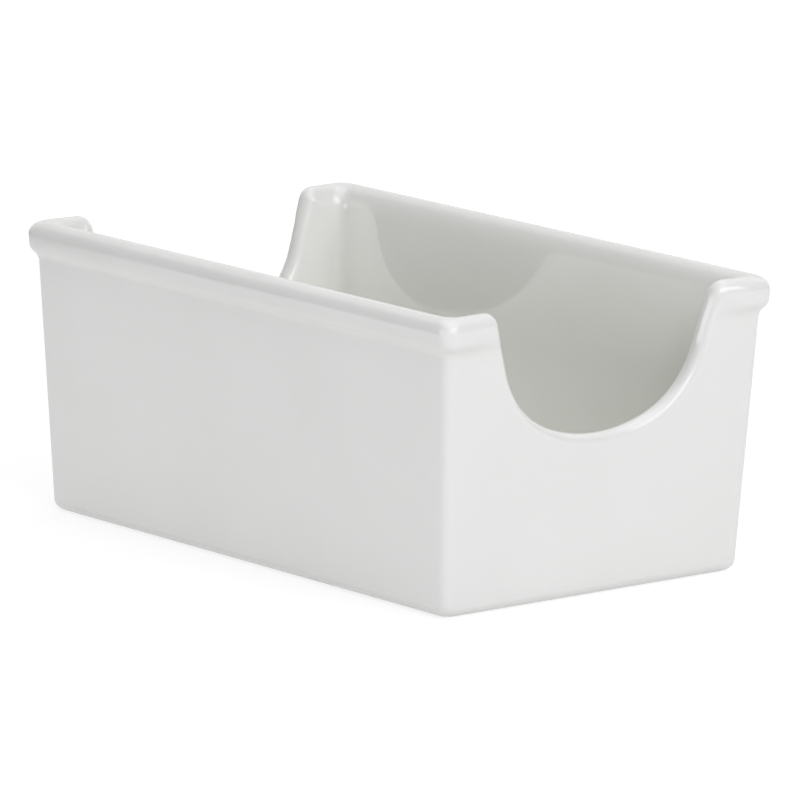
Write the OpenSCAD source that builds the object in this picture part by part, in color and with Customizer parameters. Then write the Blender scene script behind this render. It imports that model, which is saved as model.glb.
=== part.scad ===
// Sugar packet holder: an open tub moulded in one piece, with drafted walls,
// a rolled rim all round and a finger notch in each end wall.
// Millimetres, +Z up. X runs along the length and Y across the width.
// The origin is the centre of the face the holder rests on.

/* [Body] */
// Overall length over the rim
holder_l = 127.6; // [100:0.1:180]
// Overall width over the rim, sized for packets laid across the floor
holder_w = 80.8; // [70:0.1:120]
// Overall height from table to crown
holder_h = 57; // [45:0.5:80]
// Thickness of the side and end walls
wall_t = 4; // [3:0.1:6]
// Thickness from the rest land up to the inside floor
floor_t = 5; // [3.5:0.1:8]
// Lean of the walls from vertical, in degrees
draft_deg = 2.9; // [1:0.1:6]

/* [Corners] */
// Radius of the upright outer corners
wall_corner_r = 2; // [1:0.1:6]
// Radius of the bottom edge
base_edge_r = 2; // [1:0.1:4]
// Radius of the rim corners, measured at the nose of the rim
rim_corner_r = 2.6; // [1.5:0.1:10]
// Radius of the upright inner corners
inner_corner_r = 2.6; // [1.5:0.1:8]
// Radius of the sweep from the inner walls to the floor
floor_sweep_r = 5; // [2:0.1:10]
// Radius of the corners of the flat floor
floor_corner_r = 6; // [2:0.1:12]

/* [Rolled rim] */
// How far the nose of the rim stands out from the wall
rim_out = 1.4; // [0.8:0.1:3]
// Depth below the crown where the crown has rounded off into the nose
crown_out_h = 2.8; // [1.5:0.1:4]
// Height of the flat nose of the rim
rim_nose_h = 1.5; // [0.5:0.1:3]
// Depth below the crown where the rim has run back into the wall
rim_h = 7.8; // [6.5:0.1:12]
// Depth below the crown where the crown has run into the inner wall
crown_in_h = 4.5; // [2.5:0.1:8]

/* [Finger notches] */
// Depth of each notch below the crown
notch_h = 26; // [20:0.5:32]
// Radius of the bottom of the notch
notch_base_r = 34; // [26:0.5:50]
// Angle the bottom curve takes up on each side of the middle, in degrees
notch_base_deg = 22; // [10:1:30]
// Radius of the curve that turns the bottom into the flank
notch_side_r = 18.7; // [12:0.1:24]
// Lean of the flanks from vertical, in degrees
notch_flare_deg = 17; // [5:1:25]
// Radius where a flank rolls over into the rim
notch_lug_r = 4; // [2:0.1:8]
// Rounding of the notch edge on both faces of the wall
notch_lip_r = 1.7; // [0.5:0.1:2.5]

/* [Underside] */
// Width of the flat land the holder rests on
land_w = 5; // [3:0.5:12]
// Depth of the recess inside the land
recess_h = 1; // [0.4:0.1:2]
// Width of the slope from the land up to the recess
recess_slope_w = 1.5; // [0.5:0.1:4]

/* [Hidden] */
// Steps along a rounded corner, and along a curve of the section
corner_steps = 7;
curve_steps = 6;
// Steps along each curve of the notch outline
outline_steps = 9;
// How far a cutter runs past the face that it cuts
cut_over = 1;
// Largest part of the wall that one rounded notch edge may take
lip_max_share = 0.45;
// Sideways run of the holder's walls per unit of height
draft = tan(draft_deg);
// Height of the top of the nose, where the holder is longest and widest
nose_z = holder_h - crown_out_h;
// The crown lies midway between the rim's nose and the inner wall
crown_n = (rim_out - wall_t) / 2;
crown_half = (rim_out + wall_t) / 2;
// The underside of the rim is two equal arcs, the upper convex, the lower concave
rim_under_h = rim_h - crown_out_h - rim_nose_h;
ogee_r = (rim_out * rim_out + rim_under_h * rim_under_h) / (4 * rim_out);
ogee_deg = asin(rim_under_h / (2 * ogee_r));
lip_r = min(notch_lip_r, wall_t * lip_max_share);

// Half length and half width of the outer wall faces at height z
function wall_x(z) = holder_l / 2 - rim_out - (nose_z - z) * draft;
function wall_y(z) = holder_w / 2 - rim_out - (nose_z - z) * draft;

// Corner radius of the rim at distance n from the outer wall face
function rim_r(n) = inner_corner_r + (rim_corner_r - inner_corner_r) * (n + wall_t) / (rim_out + wall_t);
function under_r(n) = wall_corner_r + (rim_corner_r - wall_corner_r) * n / rim_out;

// Rounded rectangle at height z, standing n outside the outer wall faces
function ring(n, z, r) = [
    for (q = [0:3])
        let (sx = q == 0 || q == 3 ? 1 : -1, sy = q < 2 ? 1 : -1)
        for (i = [0:corner_steps])
            let (a = 90 * (q + i / corner_steps))
            [
                sx * (wall_x(z) + n - r) + r * cos(a),
                sy * (wall_y(z) + n - r) + r * sin(a),
                z
            ]
];

// The section from the recess out along the land, up the outside, over the
// crown and down to the floor, as [distance from wall face, height, corner radius]
function section() = concat(
    [[-base_edge_r - land_w - recess_slope_w, recess_h, wall_corner_r]],
    [[-base_edge_r - land_w, 0, wall_corner_r]],
    [for (i = [0:curve_steps])
        let (a = 90 * i / curve_steps)
        [-base_edge_r * (1 - sin(a)), base_edge_r * (1 - cos(a)), wall_corner_r]],
    [for (i = [0:curve_steps])
        let (a = ogee_deg * i / curve_steps, n = ogee_r * (1 - cos(a)))
        [n, holder_h - rim_h + ogee_r * sin(a), under_r(n)]],
    [for (i = [1:curve_steps])
        let (a = ogee_deg * (1 - i / curve_steps), n = rim_out - ogee_r * (1 - cos(a)))
        [n, nose_z - rim_nose_h - ogee_r * sin(a), under_r(n)]],
    [for (i = [0:2 * curve_steps])
        let (a = 45 * i / curve_steps, n = crown_n + crown_half * cos(a))
        [n, nose_z + crown_out_h * sin(a), rim_r(n)]],
    [for (i = [1:2 * curve_steps])
        let (a = 45 * i / curve_steps, n = crown_n - crown_half * sin(a))
        [n, holder_h - crown_in_h * (1 - cos(a)), rim_r(n)]],
    [for (i = [0:curve_steps])
        let (a = 90 * i / curve_steps)
        [
            -wall_t - floor_sweep_r * (1 - cos(a)),
            floor_t + floor_sweep_r * (1 - sin(a)),
            inner_corner_r + (floor_corner_r - inner_corner_r) * (1 - cos(a))
        ]]
);

// Right half of the notch outline as [y, z], grown into the wall by g along
// the bottom and by top_g where the flank meets the rim
function notch_half(g, top_g) =
    let (
        base = [0, holder_h - notch_h + notch_base_r],
        turn = notch_base_deg - 90,
        side = base + (notch_base_r - notch_side_r) * [cos(turn), sin(turn)],
        f = notch_flare_deg,
        foot = side + notch_side_r * [cos(f), -sin(f)],
        rise = (holder_h - notch_lug_r * (1 - sin(f)) - foot[1]) / cos(f),
        lug = foot + rise * [sin(f), cos(f)] + notch_lug_r * [cos(f), -sin(f)] + [top_g / cos(f), 0]
    )
    concat(
        [for (i = [0:outline_steps])
            let (a = -90 + notch_base_deg * i / outline_steps)
            base + (notch_base_r + g) * [cos(a), sin(a)]],
        [for (i = [1:outline_steps])
            let (a = turn - (turn + f) * i / outline_steps)
            side + (notch_side_r + g) * [cos(a), sin(a)]],
        [for (i = [0:outline_steps])
            let (a = 180 - f - (90 - f) * i / outline_steps)
            lug + notch_lug_r * [cos(a), sin(a)]],
        [[lug[0], holder_h + cut_over]]
    );

// Whole notch outline at distance n from the outer wall face
function notch_ring(n, g, top_g) =
    let (half = notch_half(g, top_g), m = len(half))
    concat(
        [for (p = half) [n, p[0], p[1]]],
        [for (i = [m - 1:-1:1]) [n, -half[i][0], half[i][1]]]
    );

// Closed skin over a row of rings that all have the same number of points
module skin(rings) {
    m = len(rings[0]);
    last = len(rings) - 1;
    polyhedron(
        points = [for (r = rings) each r],
        faces = concat(
            [[for (i = [0:m - 1]) i]],
            [for (j = [0:last - 1], i = [0:m - 1])
                let (k = (i + 1) % m)
                [j * m + i, (j + 1) * m + i, (j + 1) * m + k, j * m + k]],
            [[for (i = [m - 1:-1:0]) last * m + i]]
        )
    );
}

// Cutter for the notch in the +X end. It widens towards both faces of the wall,
// which rounds the edges; beside the rim it widens out to the nose, so that the
// rim rolls off into the notch
module notch_cutter() {
    roll = lip_r + rim_out;
    rings = concat(
        [notch_ring(-wall_t - cut_over, lip_r, lip_r)],
        [for (i = [0:curve_steps])
            let (a = 90 * i / curve_steps, g = lip_r * (1 - sin(a)))
            notch_ring(-wall_t + lip_r * (1 - cos(a)), g, g)],
        [for (i = [0:curve_steps])
            let (
                a = 90 * i / curve_steps,
                n = lip_r * (sin(a) - 1),
                b = asin((n + lip_r) / roll)
            )
            notch_ring(n, lip_r * (1 - cos(a)), roll * (1 - cos(b)))],
        [for (i = [1:curve_steps])
            let (b = asin(lip_r / roll) + (90 - asin(lip_r / roll)) * i / curve_steps)
            notch_ring(roll * sin(b) - lip_r, lip_r, roll * (1 - cos(b)))],
        [notch_ring(rim_out + cut_over, lip_r, roll)]
    );
    translate([wall_x(0), 0, 0])
        rotate([0, draft_deg, 0])
            skin(rings);
}

// The whole holder: one moulding, its section swept round a rounded rectangle
module holder() {
    color([0.93, 0.93, 0.91])
        difference() {
            skin([for (s = section()) ring(s[0], s[1], s[2])]);
            for (turn = [0, 180])
                rotate([0, 0, turn])
                    notch_cutter();
        }
}

holder();
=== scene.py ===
"""Looks of a sugar packet holder: a glossy white tub on a plain white floor.

The tub is one structured mesh. A column of points runs from the middle of the
underside out to the wall, up the outside, over the edge and down the inside to
the middle of the floor. The columns stand side by side round the whole tub.
"""

import math

import bpy
import numpy as np
from mathutils import Matrix, Vector


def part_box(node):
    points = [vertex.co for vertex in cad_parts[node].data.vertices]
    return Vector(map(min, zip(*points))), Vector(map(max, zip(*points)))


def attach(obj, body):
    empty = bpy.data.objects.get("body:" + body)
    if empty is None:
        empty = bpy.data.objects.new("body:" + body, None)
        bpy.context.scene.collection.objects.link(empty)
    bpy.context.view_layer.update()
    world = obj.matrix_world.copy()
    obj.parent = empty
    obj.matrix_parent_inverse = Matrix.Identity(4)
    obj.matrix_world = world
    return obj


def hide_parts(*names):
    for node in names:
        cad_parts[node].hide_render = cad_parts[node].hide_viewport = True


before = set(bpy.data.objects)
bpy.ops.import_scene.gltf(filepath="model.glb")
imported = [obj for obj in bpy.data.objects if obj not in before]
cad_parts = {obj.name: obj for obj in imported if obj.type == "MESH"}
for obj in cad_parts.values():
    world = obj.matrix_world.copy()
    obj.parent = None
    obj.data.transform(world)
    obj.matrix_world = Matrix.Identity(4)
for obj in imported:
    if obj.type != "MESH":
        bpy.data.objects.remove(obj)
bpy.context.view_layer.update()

MM = 0.001

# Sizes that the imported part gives
box_lo, box_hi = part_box("holder")
HOLDER_L, HOLDER_W, HOLDER_H = box_hi - box_lo

# Walls and floor
WALL_T = 4 * MM
FLOOR_T = 5 * MM
DRAFT = math.tan(math.radians(2.9))
WALL_CORNER_R = 2 * MM
BASE_EDGE_R = 2 * MM
RIM_CORNER_R = 2.6 * MM
INNER_CORNER_R = 2.6 * MM
FLOOR_SWEEP_R = 5 * MM
FLOOR_CORNER_R = 6 * MM

# Rolled rim: how far the nose stands out, the height of its flat, and depths below the crown
RIM_OUT = 1.4 * MM
CROWN_OUT_H = 2.8 * MM
RIM_NOSE_H = 1.5 * MM
RIM_H = 7.8 * MM
CROWN_IN_H = 4.5 * MM

# Finger notches
NOTCH_H = 26 * MM
NOTCH_BASE_R = 34 * MM
NOTCH_BASE_DEG = 22
NOTCH_SIDE_R = 18.7 * MM
NOTCH_FLARE_DEG = 17
NOTCH_LUG_R = 3 * MM
NOTCH_LIP_OUT = 1.7 * MM
NOTCH_LIP_IN = 2 * MM
# The edge is followed at a right angle up to this distance, then straight down
LIP_TURN = 2.6 * MM
# Share of the rim's bead that is left beside a notch; it grows to the whole bead at the corner
BEAD_LEFT = 0.35

# Underside
LAND_W = 5 * MM
RECESS_H = 1 * MM
RECESS_SLOPE_W = 1.5 * MM

# Points along each stretch of the mesh
BASE_STEPS = 12
SIDE_ARC_STEPS = 18
FLANK_STEPS = 14
LUG_STEPS = 14
LUG_TOP_STEPS = 12
CORNER_STEPS = 14
LONG_STEPS = 24
LIP_STEPS = 16
BEAD_STEPS = 16
WALL_STEPS = 14
ROUND_STEPS = 10
# The bead's rows reach down to this many times the height of the rim below its nose
BEAD_ROWS = 1.15
# Rings on the flat of the underside and of the floor, as shares of the way from the middle
CAP_SHARES = (0.97, 0.7, 0.4, 0.15)

NOSE_Z = HOLDER_H - CROWN_OUT_H
UNDER_Z = NOSE_Z - RIM_NOSE_H
CROWN_N = (RIM_OUT - WALL_T) / 2
CROWN_HALF = (RIM_OUT + WALL_T) / 2


def unit(deg):
    """Unit vectors at angles in degrees."""
    a = np.radians(deg)
    return np.stack([np.cos(a), np.sin(a)], -1)


def smooth(t):
    """Step from 0 to 1 that starts and ends level."""
    t = np.clip(t, 0, 1)
    return t * t * (3 - 2 * t)


def wall_x(z):
    """Half length of the outer wall faces at height z."""
    return HOLDER_L / 2 - RIM_OUT - (NOSE_Z - z) * DRAFT


def wall_y(z):
    """Half width of the outer wall faces at height z."""
    return HOLDER_W / 2 - RIM_OUT - (NOSE_Z - z) * DRAFT


def bead(depth):
    """How far the rim stands out at a depth below the crown: a flat nose, then two arcs."""
    run = UNDER_Z - (HOLDER_H - RIM_H)
    radius = (RIM_OUT**2 + run**2) / (4 * RIM_OUT)
    t = np.clip(depth - (HOLDER_H - UNDER_Z), 0, run)
    convex = RIM_OUT - radius + np.sqrt(radius**2 - np.minimum(t, run / 2) ** 2)
    concave = radius - np.sqrt(radius**2 - np.minimum(run - t, run / 2) ** 2)
    return np.where(t < run / 2, convex, concave)


def rim_r(n):
    """Corner radius of the rim at distance n from the outer wall face."""
    return INNER_CORNER_R + (RIM_CORNER_R - INNER_CORNER_R) * (n + WALL_T) / (RIM_OUT + WALL_T)


def under_r(n):
    """Corner radius below the nose of the rim."""
    return WALL_CORNER_R + (RIM_CORNER_R - WALL_CORNER_R) * n / RIM_OUT


def notch_edge():
    """Half of a notch up to the top of the lug, as points (y, z) and directions into the wall."""
    base = np.array([0, HOLDER_H - NOTCH_H + NOTCH_BASE_R])
    turn = NOTCH_BASE_DEG - 90
    side = base + (NOTCH_BASE_R - NOTCH_SIDE_R) * unit(turn)
    foot = side + NOTCH_SIDE_R * unit(-NOTCH_FLARE_DEG)
    flare = math.radians(NOTCH_FLARE_DEG)
    rise = (HOLDER_H - NOTCH_LUG_R * (1 - math.sin(flare)) - foot[1]) / math.cos(flare)
    top = foot + rise * unit(90 - NOTCH_FLARE_DEG)
    lug = top + NOTCH_LUG_R * unit(-NOTCH_FLARE_DEG)
    base_in = unit(np.linspace(-90, turn, BASE_STEPS, endpoint=False))
    side_in = unit(np.linspace(turn, -NOTCH_FLARE_DEG, SIDE_ARC_STEPS, endpoint=False))
    flank_at = np.linspace(0, 1, FLANK_STEPS, endpoint=False)[:, None]
    flank_in = np.repeat(unit(-NOTCH_FLARE_DEG)[None], FLANK_STEPS, 0)
    lug_in = unit(np.linspace(-NOTCH_FLARE_DEG, -90, LUG_STEPS + 1))
    points = np.concatenate([
        base + NOTCH_BASE_R * base_in,
        side + NOTCH_SIDE_R * side_in,
        foot + (top - foot) * flank_at,
        lug - NOTCH_LUG_R * lug_in,
    ])
    return points, np.concatenate([base_in, side_in, flank_in, lug_in])


EDGE, EDGE_IN = notch_edge()
FLANK_Y = EDGE[-LUG_STEPS - 1, 0]
LUG_Y = EDGE[-1, 0]
CORNER_Y = wall_y(HOLDER_H) + CROWN_N - rim_r(CROWN_N)
LUG_SHARE = LUG_Y / CORNER_Y


def bead_share(y):
    """Share of the bead at y across an end wall: it fades from the corner towards the notch."""
    return BEAD_LEFT + (1 - BEAD_LEFT) * smooth((y - FLANK_Y) / (CORNER_Y - FLANK_Y))


def lip_sizes():
    """How far from the notch's edge each face is reached, blending into the rim over the lug."""
    to_rim = np.zeros(len(EDGE))
    to_rim[-LUG_STEPS - 1:] = smooth(np.linspace(0, 1, LUG_STEPS + 1))
    out = NOTCH_LIP_OUT + bead_share(EDGE[:, 0]) * bead(HOLDER_H - EDGE[:, 1])
    out = out + (CROWN_OUT_H - out) * to_rim
    inner = NOTCH_LIP_IN + (CROWN_IN_H - NOTCH_LIP_IN) * to_rim
    return out, inner


LIP_OUT, LIP_IN = lip_sizes()


def quarter(level):
    """A quarter of a level, from the middle of the +X end to the middle of the +Y wall.

    level holds the height z, the distance n from the wall face, the same distance
    bare_n without the bead and the corner radius r of the rim and walls, and for
    the columns along the notch their own y, z and n.
    """
    z, n, r = level["z"], level["n"], level["r"]
    half_x, half_y = wall_x(z) + n, wall_y(z) + n
    straight = half_y - r
    end_x = wall_x(level["end_z"]) + level["end_n"]
    end = np.stack([end_x, level["end_y"], level["end_z"]], 1)
    f = np.linspace(0, 1, LUG_TOP_STEPS + 1)[1:-1]
    lug_y = end[-1, 1] + f * (straight - end[-1, 1])
    lug_n = level["bare_n"] + (n - level["bare_n"]) * bead_share(lug_y)
    lug_top = np.stack([wall_x(z) + lug_n, lug_y, np.full_like(f, z)], 1)
    around = unit(np.linspace(0, 90, CORNER_STEPS + 1))
    corner = np.array([half_x - r, half_y - r]) + r * around
    corner = np.column_stack([corner, np.full(len(corner), z)])
    f = np.linspace(1, 0, LONG_STEPS + 1)[1:]
    side = np.stack([f * (half_x - r), np.full_like(f, half_y), np.full_like(f, z)], 1)
    return np.concatenate([end, lug_top, corner, side])


def lip_level(phi, reach, rim_reach, sign):
    """A level on the rounded edge, phi round from the top of it; sign is 1 outside, -1 inside."""
    fall = 1 - math.cos(phi)
    t = reach * fall
    held = np.minimum(t, LIP_TURN)[:, None]
    end = EDGE + held * EDGE_IN
    end_y = end[:, 0]
    end_z = end[:, 1] - np.maximum(t - LIP_TURN, 0)
    out = bead_share(end_y) * bead(HOLDER_H - end_z)
    end_n = (out - WALL_T) / 2 + sign * (out + WALL_T) / 2 * math.sin(phi)
    n = CROWN_N + sign * CROWN_HALF * math.sin(phi)
    bare_n = WALL_T / 2 * (sign * math.sin(phi) - 1)
    z = HOLDER_H - rim_reach * fall
    return dict(z=z, n=n, bare_n=bare_n, r=rim_r(n), end_y=end_y, end_z=end_z, end_n=end_n)


def wall_levels(top, foot_z, outside):
    """Levels from the foot of the rounded edge down a wall, close together under the rim."""
    close = (RIM_H - CROWN_OUT_H) * BEAD_ROWS / (top["z"] - foot_z)
    shares = np.concatenate([
        np.linspace(0, close, BEAD_STEPS + 1)[1:],
        np.linspace(close, 1, WALL_STEPS + 1)[1:],
    ])
    levels = []
    for share in shares:
        z = top["z"] + (foot_z - top["z"]) * share
        end_z = top["end_z"] + (foot_z - top["end_z"]) * share
        bare_n = 0 if outside else -WALL_T
        n = float(bead(HOLDER_H - z)) if outside else -WALL_T
        r = under_r(n) if outside else INNER_CORNER_R
        straight = wall_y(z) + n - r
        lug = LUG_Y + (LUG_SHARE * straight - LUG_Y) * smooth(share)
        end_y = top["end_y"] * lug / LUG_Y
        end_n = np.full(len(EDGE), -WALL_T)
        if outside:
            end_n = bead_share(end_y) * bead(HOLDER_H - end_z)
        levels.append(dict(z=z, n=n, bare_n=bare_n, r=r, end_y=end_y, end_z=end_z, end_n=end_n))
    return levels


def foot_share(levels):
    """Where the notch columns stand on the last level of a wall, as shares of the lug's place."""
    return levels[-1]["end_y"] / levels[-1]["end_y"][-1]


def underside_section():
    """The bottom edge, rest land and recess from the wall inwards, as (n, z, corner radius)."""
    points = []
    for a in np.linspace(90, 0, ROUND_STEPS + 1)[1:]:
        s, c = math.sin(math.radians(a)), math.cos(math.radians(a))
        points.append((-BASE_EDGE_R * (1 - s), BASE_EDGE_R * (1 - c), WALL_CORNER_R))
    land_n = -BASE_EDGE_R - LAND_W
    for t in np.linspace(0, 1, ROUND_STEPS + 1):
        points.append((land_n - RECESS_SLOPE_W * t, RECESS_H * float(smooth(t)), WALL_CORNER_R))
    return points


def floor_section():
    """The sweep from the inner wall to the floor, as (n, z, corner radius)."""
    points = []
    for a in np.linspace(0, 90, ROUND_STEPS + 1)[1:]:
        s, c = math.sin(math.radians(a)), math.cos(math.radians(a))
        r = INNER_CORNER_R + (FLOOR_CORNER_R - INNER_CORNER_R) * (1 - c)
        points.append((-WALL_T - FLOOR_SWEEP_R * (1 - c), FLOOR_T + FLOOR_SWEEP_R * (1 - s), r))
    return points


def ring_levels(section, shares):
    """Levels with the same section all round; the notch columns keep their shares of the width."""
    size = len(EDGE)
    levels = []
    for n, z, r in section:
        end_y = shares * LUG_SHARE * (wall_y(z) + n - r)
        end_z, end_n = np.full(size, z), np.full(size, n)
        levels.append(dict(z=z, n=n, bare_n=n, r=r, end_y=end_y, end_z=end_z, end_n=end_n))
    return levels


def full_ring(points):
    """All four quarters of a level, anticlockwise seen from above."""
    flip_x, flip_y = np.array([-1, 1, 1]), np.array([1, -1, 1])
    return np.concatenate([
        points,
        (points * flip_x)[-2::-1],
        (points * flip_x * flip_y)[1:],
        (points * flip_y)[-2:0:-1],
    ])


def tub_levels():
    """Every level in order from the underside to the floor."""
    turns = np.radians(np.linspace(0, 90, LIP_STEPS + 1))
    outer_lip = [lip_level(a, LIP_OUT, CROWN_OUT_H, 1) for a in turns]
    inner_lip = [lip_level(a, LIP_IN, CROWN_IN_H, -1) for a in turns]
    outer = wall_levels(outer_lip[-1], BASE_EDGE_R, True)
    inner = wall_levels(inner_lip[-1], FLOOR_T + FLOOR_SWEEP_R, False)
    under = ring_levels(underside_section(), foot_share(outer))
    floor = ring_levels(floor_section(), foot_share(inner))
    up = under[::-1] + outer[::-1] + outer_lip[:0:-1]
    down = inner_lip + inner + floor
    return [full_ring(quarter(level)) for level in up + down]


def shrunk(ring, share):
    """A ring drawn in towards the Z axis."""
    return ring * np.array([share, share, 1])


def build_tub(name):
    """The tub as one closed mesh."""
    rings = tub_levels()
    under_cap = [shrunk(rings[0], share) for share in CAP_SHARES[::-1]]
    floor_cap = [shrunk(rings[-1], share) for share in CAP_SHARES]
    rings = under_cap + rings + floor_cap
    size = len(rings[0])
    verts = np.concatenate(rings + [shrunk(rings[0][:1], 0), shrunk(rings[-1][:1], 0)])
    here = np.arange(size)
    following = (here + 1) % size
    faces = []
    for j in range(len(rings) - 1):
        a, b = j * size, (j + 1) * size
        faces += np.stack([a + here, a + following, b + following, b + here], 1).tolist()
    under, floor = len(verts) - 2, len(verts) - 1
    last = (len(rings) - 1) * size
    faces += [[under, k, i] for i, k in zip(here.tolist(), following.tolist())]
    faces += [[floor, last + i, last + k] for i, k in zip(here.tolist(), following.tolist())]
    mesh = bpy.data.meshes.new(name)
    mesh.from_pydata(verts.tolist(), [], faces)
    mesh.validate()
    mesh.shade_smooth()
    tub = bpy.data.objects.new(name, mesh)
    bpy.context.scene.collection.objects.link(tub)
    return tub


def math_node(tree, operation, *values):
    """Output of a Math node, whose inputs are sockets or plain numbers."""
    node = tree.nodes.new("ShaderNodeMath")
    node.operation = operation
    for socket, value in zip(node.inputs, values):
        if isinstance(value, bpy.types.NodeSocket):
            tree.links.new(value, socket)
        else:
            socket.default_value = value
    return node.outputs[0]


def map_range(tree, value, start, end, kind="SMOOTHSTEP"):
    """value taken from the range start to the range end, and held at its limits."""
    node = tree.nodes.new("ShaderNodeMapRange")
    node.interpolation_type = kind
    node.inputs["From Min"].default_value, node.inputs["From Max"].default_value = start
    node.inputs["To Min"].default_value, node.inputs["To Max"].default_value = end
    tree.links.new(value, node.inputs["Value"])
    return node.outputs["Result"]


def along(tree, place, towards):
    """How far a place lies in a direction."""
    node = tree.nodes.new("ShaderNodeVectorMath")
    node.operation = "DOT_PRODUCT"
    node.inputs[1].default_value = towards
    tree.links.new(place, node.inputs[0])
    return node.outputs["Value"]


def noise(tree, place, scale, detail):
    """Noise of a scale per metre."""
    node = tree.nodes.new("ShaderNodeTexNoise")
    node.inputs["Scale"].default_value = scale
    node.inputs["Detail"].default_value = detail
    tree.links.new(place, node.inputs["Vector"])
    return node.outputs["Fac"]


# Melamine: each noise is a scale per metre and a detail
MELAMINE_IOR = 1.68
CLOUD_NOISE = (45, 3)
CLOUD_AT = (0.3, 0.7)
CLOUD_COLORS = ((0.858, 0.862, 0.807, 1), (0.878, 0.882, 0.827, 1))
ROUGHNESS_NOISE = (160, 4)
ROUGHNESS = (0.03, 0.07)
# The rest land is rubbed dull up to this height, by this much roughness
LAND_RUB_H = 0.4 * MM
LAND_RUB = 0.7
LAND_RUB_NOISE = (700, 3)
# Bumps from coarse to fine
BUMPS = (
    dict(grain=(60, 1), strength=0.25, height=0.1 * MM),
    dict(grain=(900, 2), strength=0.03, height=0.02 * MM),
)


def melamine():
    """Glossy melamine: a warm white with a faint cloudiness, a little waviness and fine peel."""
    mat = bpy.data.materials.new("glossy_melamine")
    mat.use_nodes = True
    tree = mat.node_tree
    bsdf = tree.nodes["Principled BSDF"]
    bsdf.inputs["IOR"].default_value = MELAMINE_IOR
    place = tree.nodes.new("ShaderNodeTexCoord").outputs["Object"]

    cloud = tree.nodes.new("ShaderNodeValToRGB")
    for element, at, color in zip(cloud.color_ramp.elements, CLOUD_AT, CLOUD_COLORS):
        element.position = at
        element.color = color
    tree.links.new(noise(tree, place, *CLOUD_NOISE), cloud.inputs["Fac"])
    tree.links.new(cloud.outputs["Color"], bsdf.inputs["Base Color"])

    gloss = map_range(tree, noise(tree, place, *ROUGHNESS_NOISE), (0, 1), ROUGHNESS, "LINEAR")
    split = tree.nodes.new("ShaderNodeSeparateXYZ")
    tree.links.new(place, split.inputs[0])
    low = map_range(tree, split.outputs["Z"], (0, LAND_RUB_H), (1, 0), "LINEAR")
    rub = math_node(tree, "MULTIPLY", low, noise(tree, place, *LAND_RUB_NOISE))
    rough = math_node(tree, "MULTIPLY_ADD", rub, LAND_RUB, gloss)
    tree.links.new(rough, bsdf.inputs["Roughness"])

    normal = None
    for bump in BUMPS:
        node = tree.nodes.new("ShaderNodeBump")
        node.inputs["Strength"].default_value = bump["strength"]
        node.inputs["Distance"].default_value = bump["height"]
        tree.links.new(noise(tree, place, *bump["grain"]), node.inputs["Height"])
        if normal is not None:
            tree.links.new(normal, node.inputs["Normal"])
        normal = node.outputs["Normal"]
    tree.links.new(normal, bsdf.inputs["Normal"])
    return mat


def direction(az, el):
    """Unit vector from the holder: az as for the camera, el above the table."""
    a, e = math.radians(az), math.radians(el)
    return Vector((math.sin(a) * math.cos(e), -math.cos(a) * math.cos(e), math.sin(e)))


# Camera, as fitted to the straight edges in the photo
LENS_MM = 378.1
SENSOR_MM = 36
CAMERA_AZ = 50.05
CAMERA_EL = 11.426
CAMERA_ROLL = 0.957
CAMERA_D = 1608.6 * MM
CAMERA_CLIP = (0.1, 20)
AIM_RIGHT = 1.53 * MM
AIM_UP = -1.17 * MM


def camera_axes():
    """The picture's right and up, and the way back to the camera, before the roll."""
    back = direction(CAMERA_AZ, CAMERA_EL)
    right = direction(CAMERA_AZ + 90, 0)
    return right, back.cross(right), back


def add_camera():
    right, up, back = camera_axes()
    data = bpy.data.cameras.new("camera")
    data.lens = LENS_MM
    data.sensor_width = SENSOR_MM
    data.clip_start, data.clip_end = CAMERA_CLIP
    cam = bpy.data.objects.new("camera", data)
    aim = Vector((0, 0, HOLDER_H / 2)) + right * AIM_RIGHT + up * AIM_UP
    roll = Matrix.Rotation(math.radians(CAMERA_ROLL), 3, "Z")
    turn = Matrix((right, up, back)).transposed() @ roll
    cam.matrix_world = Matrix.Translation(aim + back * CAMERA_D) @ turn.to_4x4()
    bpy.context.scene.collection.objects.link(cam)
    bpy.context.scene.camera = cam


# Softboxes: direction as for the camera, size in metres, power in watts
LAMP_D = 1.5
LAMPS = {
    "key": dict(az=90, el=17, width=1.8, height=0.6, power=2.3),
    "key_high": dict(az=90, el=36, width=1.6, height=0.6, power=9.3),
    "fill": dict(az=350, el=6, width=1.6, height=0.6, power=8.0),
    "front": dict(az=50, el=24, width=1.2, height=1.0, power=2.3),
    "overhead": dict(az=90, el=80, width=1.6, height=1.6, power=9.2),
}
LAMP_COLOR = (0.934, 0.931, 1.0)


def softbox(name, az, el, width, height, power):
    """An area lamp that faces the holder."""
    back = direction(az, el)
    data = bpy.data.lights.new(name, "AREA")
    data.shape = "RECTANGLE"
    data.size = width
    data.size_y = height
    data.energy = power
    data.color = LAMP_COLOR
    lamp = bpy.data.objects.new(name, data)
    lamp.location = back * LAMP_D + Vector((0, 0, HOLDER_H / 2))
    lamp.rotation_mode = "QUATERNION"
    lamp.rotation_quaternion = (-back).to_track_quat("-Z", "Y")
    bpy.context.scene.collection.objects.link(lamp)


# The floor is a white sheet, in metres. The camera sees it run on for ever;
# in reflections it ends on one side in a dark room
FLOOR_HALF = 3
FLOOR_WHITE = 0.85
FLOOR_END_AZ = 310
FLOOR_END = (0.24, 0.32)
# Share and strength of the glow that the camera and reflections see near the holder
FLOOR_GLOW = 0.6
FLOOR_GLOW_LIGHT = 1.25
# Out here the floor becomes all glow, because the lamps light it no more
FLOOR_FAR = (0.25, 0.6)
# The floor lies a hair below the rest land, so that no two faces share a plane
FLOOR_Z = -0.02 * MM


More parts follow.
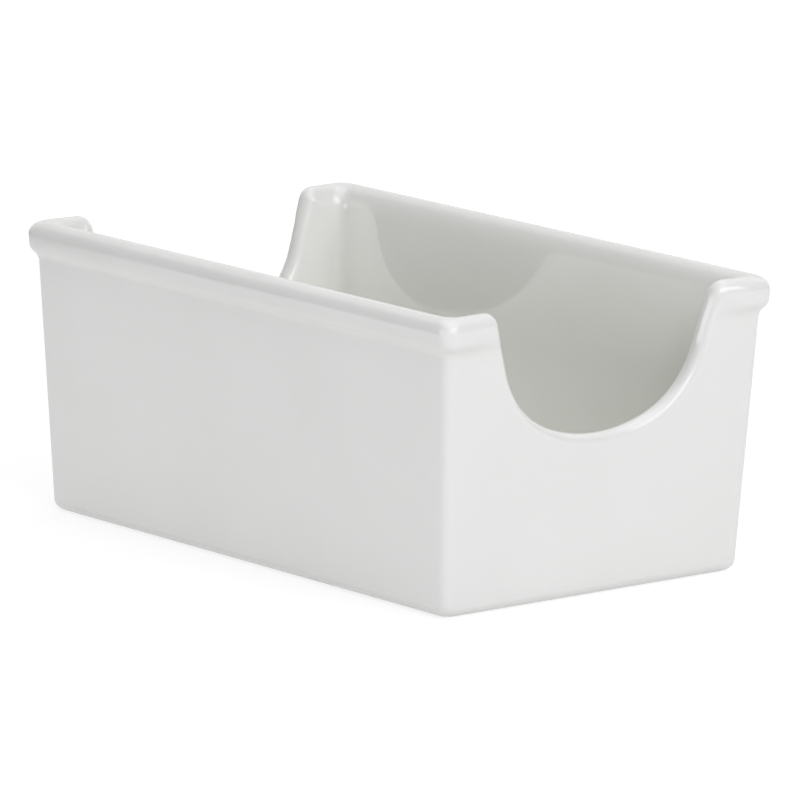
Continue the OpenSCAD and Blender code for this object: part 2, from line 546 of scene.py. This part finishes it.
def floor_white():
    """White sheet that takes shadows, with a glow for camera, glossy and transmission rays."""
    mat = bpy.data.materials.new("floor_white")
    mat.use_nodes = True
    tree = mat.node_tree
    tree.nodes.clear()
    path = tree.nodes.new("ShaderNodeLightPath").outputs
    place = tree.nodes.new("ShaderNodeTexCoord").outputs["Object"]
    seen = path["Is Camera Ray"]

    away = along(tree, place, direction(FLOOR_END_AZ, 0))
    shown = math_node(tree, "MAXIMUM", map_range(tree, away, FLOOR_END, (1, 0)), seen)
    diffuse = tree.nodes.new("ShaderNodeBsdfDiffuse")
    tree.links.new(math_node(tree, "MULTIPLY", shown, FLOOR_WHITE), diffuse.inputs["Color"])

    white = tree.nodes.new("ShaderNodeEmission")
    white.inputs["Strength"].default_value = FLOOR_GLOW_LIGHT
    mirrored = math_node(tree, "MAXIMUM", path["Is Glossy Ray"], path["Is Transmission Ray"])
    glowing = math_node(tree, "MULTIPLY", shown, math_node(tree, "MAXIMUM", seen, mirrored))
    distance = tree.nodes.new("ShaderNodeVectorMath")
    distance.operation = "LENGTH"
    tree.links.new(place, distance.inputs[0])
    share = map_range(tree, distance.outputs["Value"], FLOOR_FAR, (FLOOR_GLOW, 1))

    mix = tree.nodes.new("ShaderNodeMixShader")
    tree.links.new(math_node(tree, "MULTIPLY", glowing, share), mix.inputs["Fac"])
    tree.links.new(diffuse.outputs[0], mix.inputs[1])
    tree.links.new(white.outputs[0], mix.inputs[2])
    out = tree.nodes.new("ShaderNodeOutputMaterial")
    tree.links.new(mix.outputs[0], out.inputs["Surface"])
    return mat


def add_floor():
    mesh = bpy.data.meshes.new("floor")
    h = FLOOR_HALF
    mesh.from_pydata([(-h, -h, 0), (h, -h, 0), (h, h, 0), (-h, h, 0)], [], [(0, 1, 2, 3)])
    floor = bpy.data.objects.new("floor", mesh)
    floor.location.z = FLOOR_Z
    bpy.context.scene.collection.objects.link(floor)
    floor.data.materials.append(floor_white())


# The white backdrop stands behind the holder; the room in front of it is dim
BACKDROP_AZ = 228
BACKDROP_EL = 30
BACKDROP_EDGE = (0.4, 0.8)
BACKDROP_LIGHT = 0.84
ROOM_LIGHT = 0.05


def add_world():
    world = bpy.data.worlds.new("studio")
    world.use_nodes = True
    tree = world.node_tree
    place = tree.nodes.new("ShaderNodeTexCoord").outputs["Generated"]
    path = tree.nodes.new("ShaderNodeLightPath").outputs
    towards = along(tree, place, direction(BACKDROP_AZ, BACKDROP_EL))
    backdrop = map_range(tree, towards, BACKDROP_EDGE, (ROOM_LIGHT, BACKDROP_LIGHT))
    back = tree.nodes["Background"]
    back.inputs["Color"].default_value = (1, 1, 1, 1)
    strength = math_node(tree, "MAXIMUM", path["Is Camera Ray"], backdrop)
    tree.links.new(strength, back.inputs["Strength"])
    bpy.context.scene.world = world


tub = build_tub("tub")
tub.data.materials.append(melamine())
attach(tub, "root")
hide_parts("holder")

add_floor()
add_world()
for name, lamp in LAMPS.items():
    softbox(name, **lamp)
add_camera()
bpy.context.scene.view_settings.view_transform = "Standard"
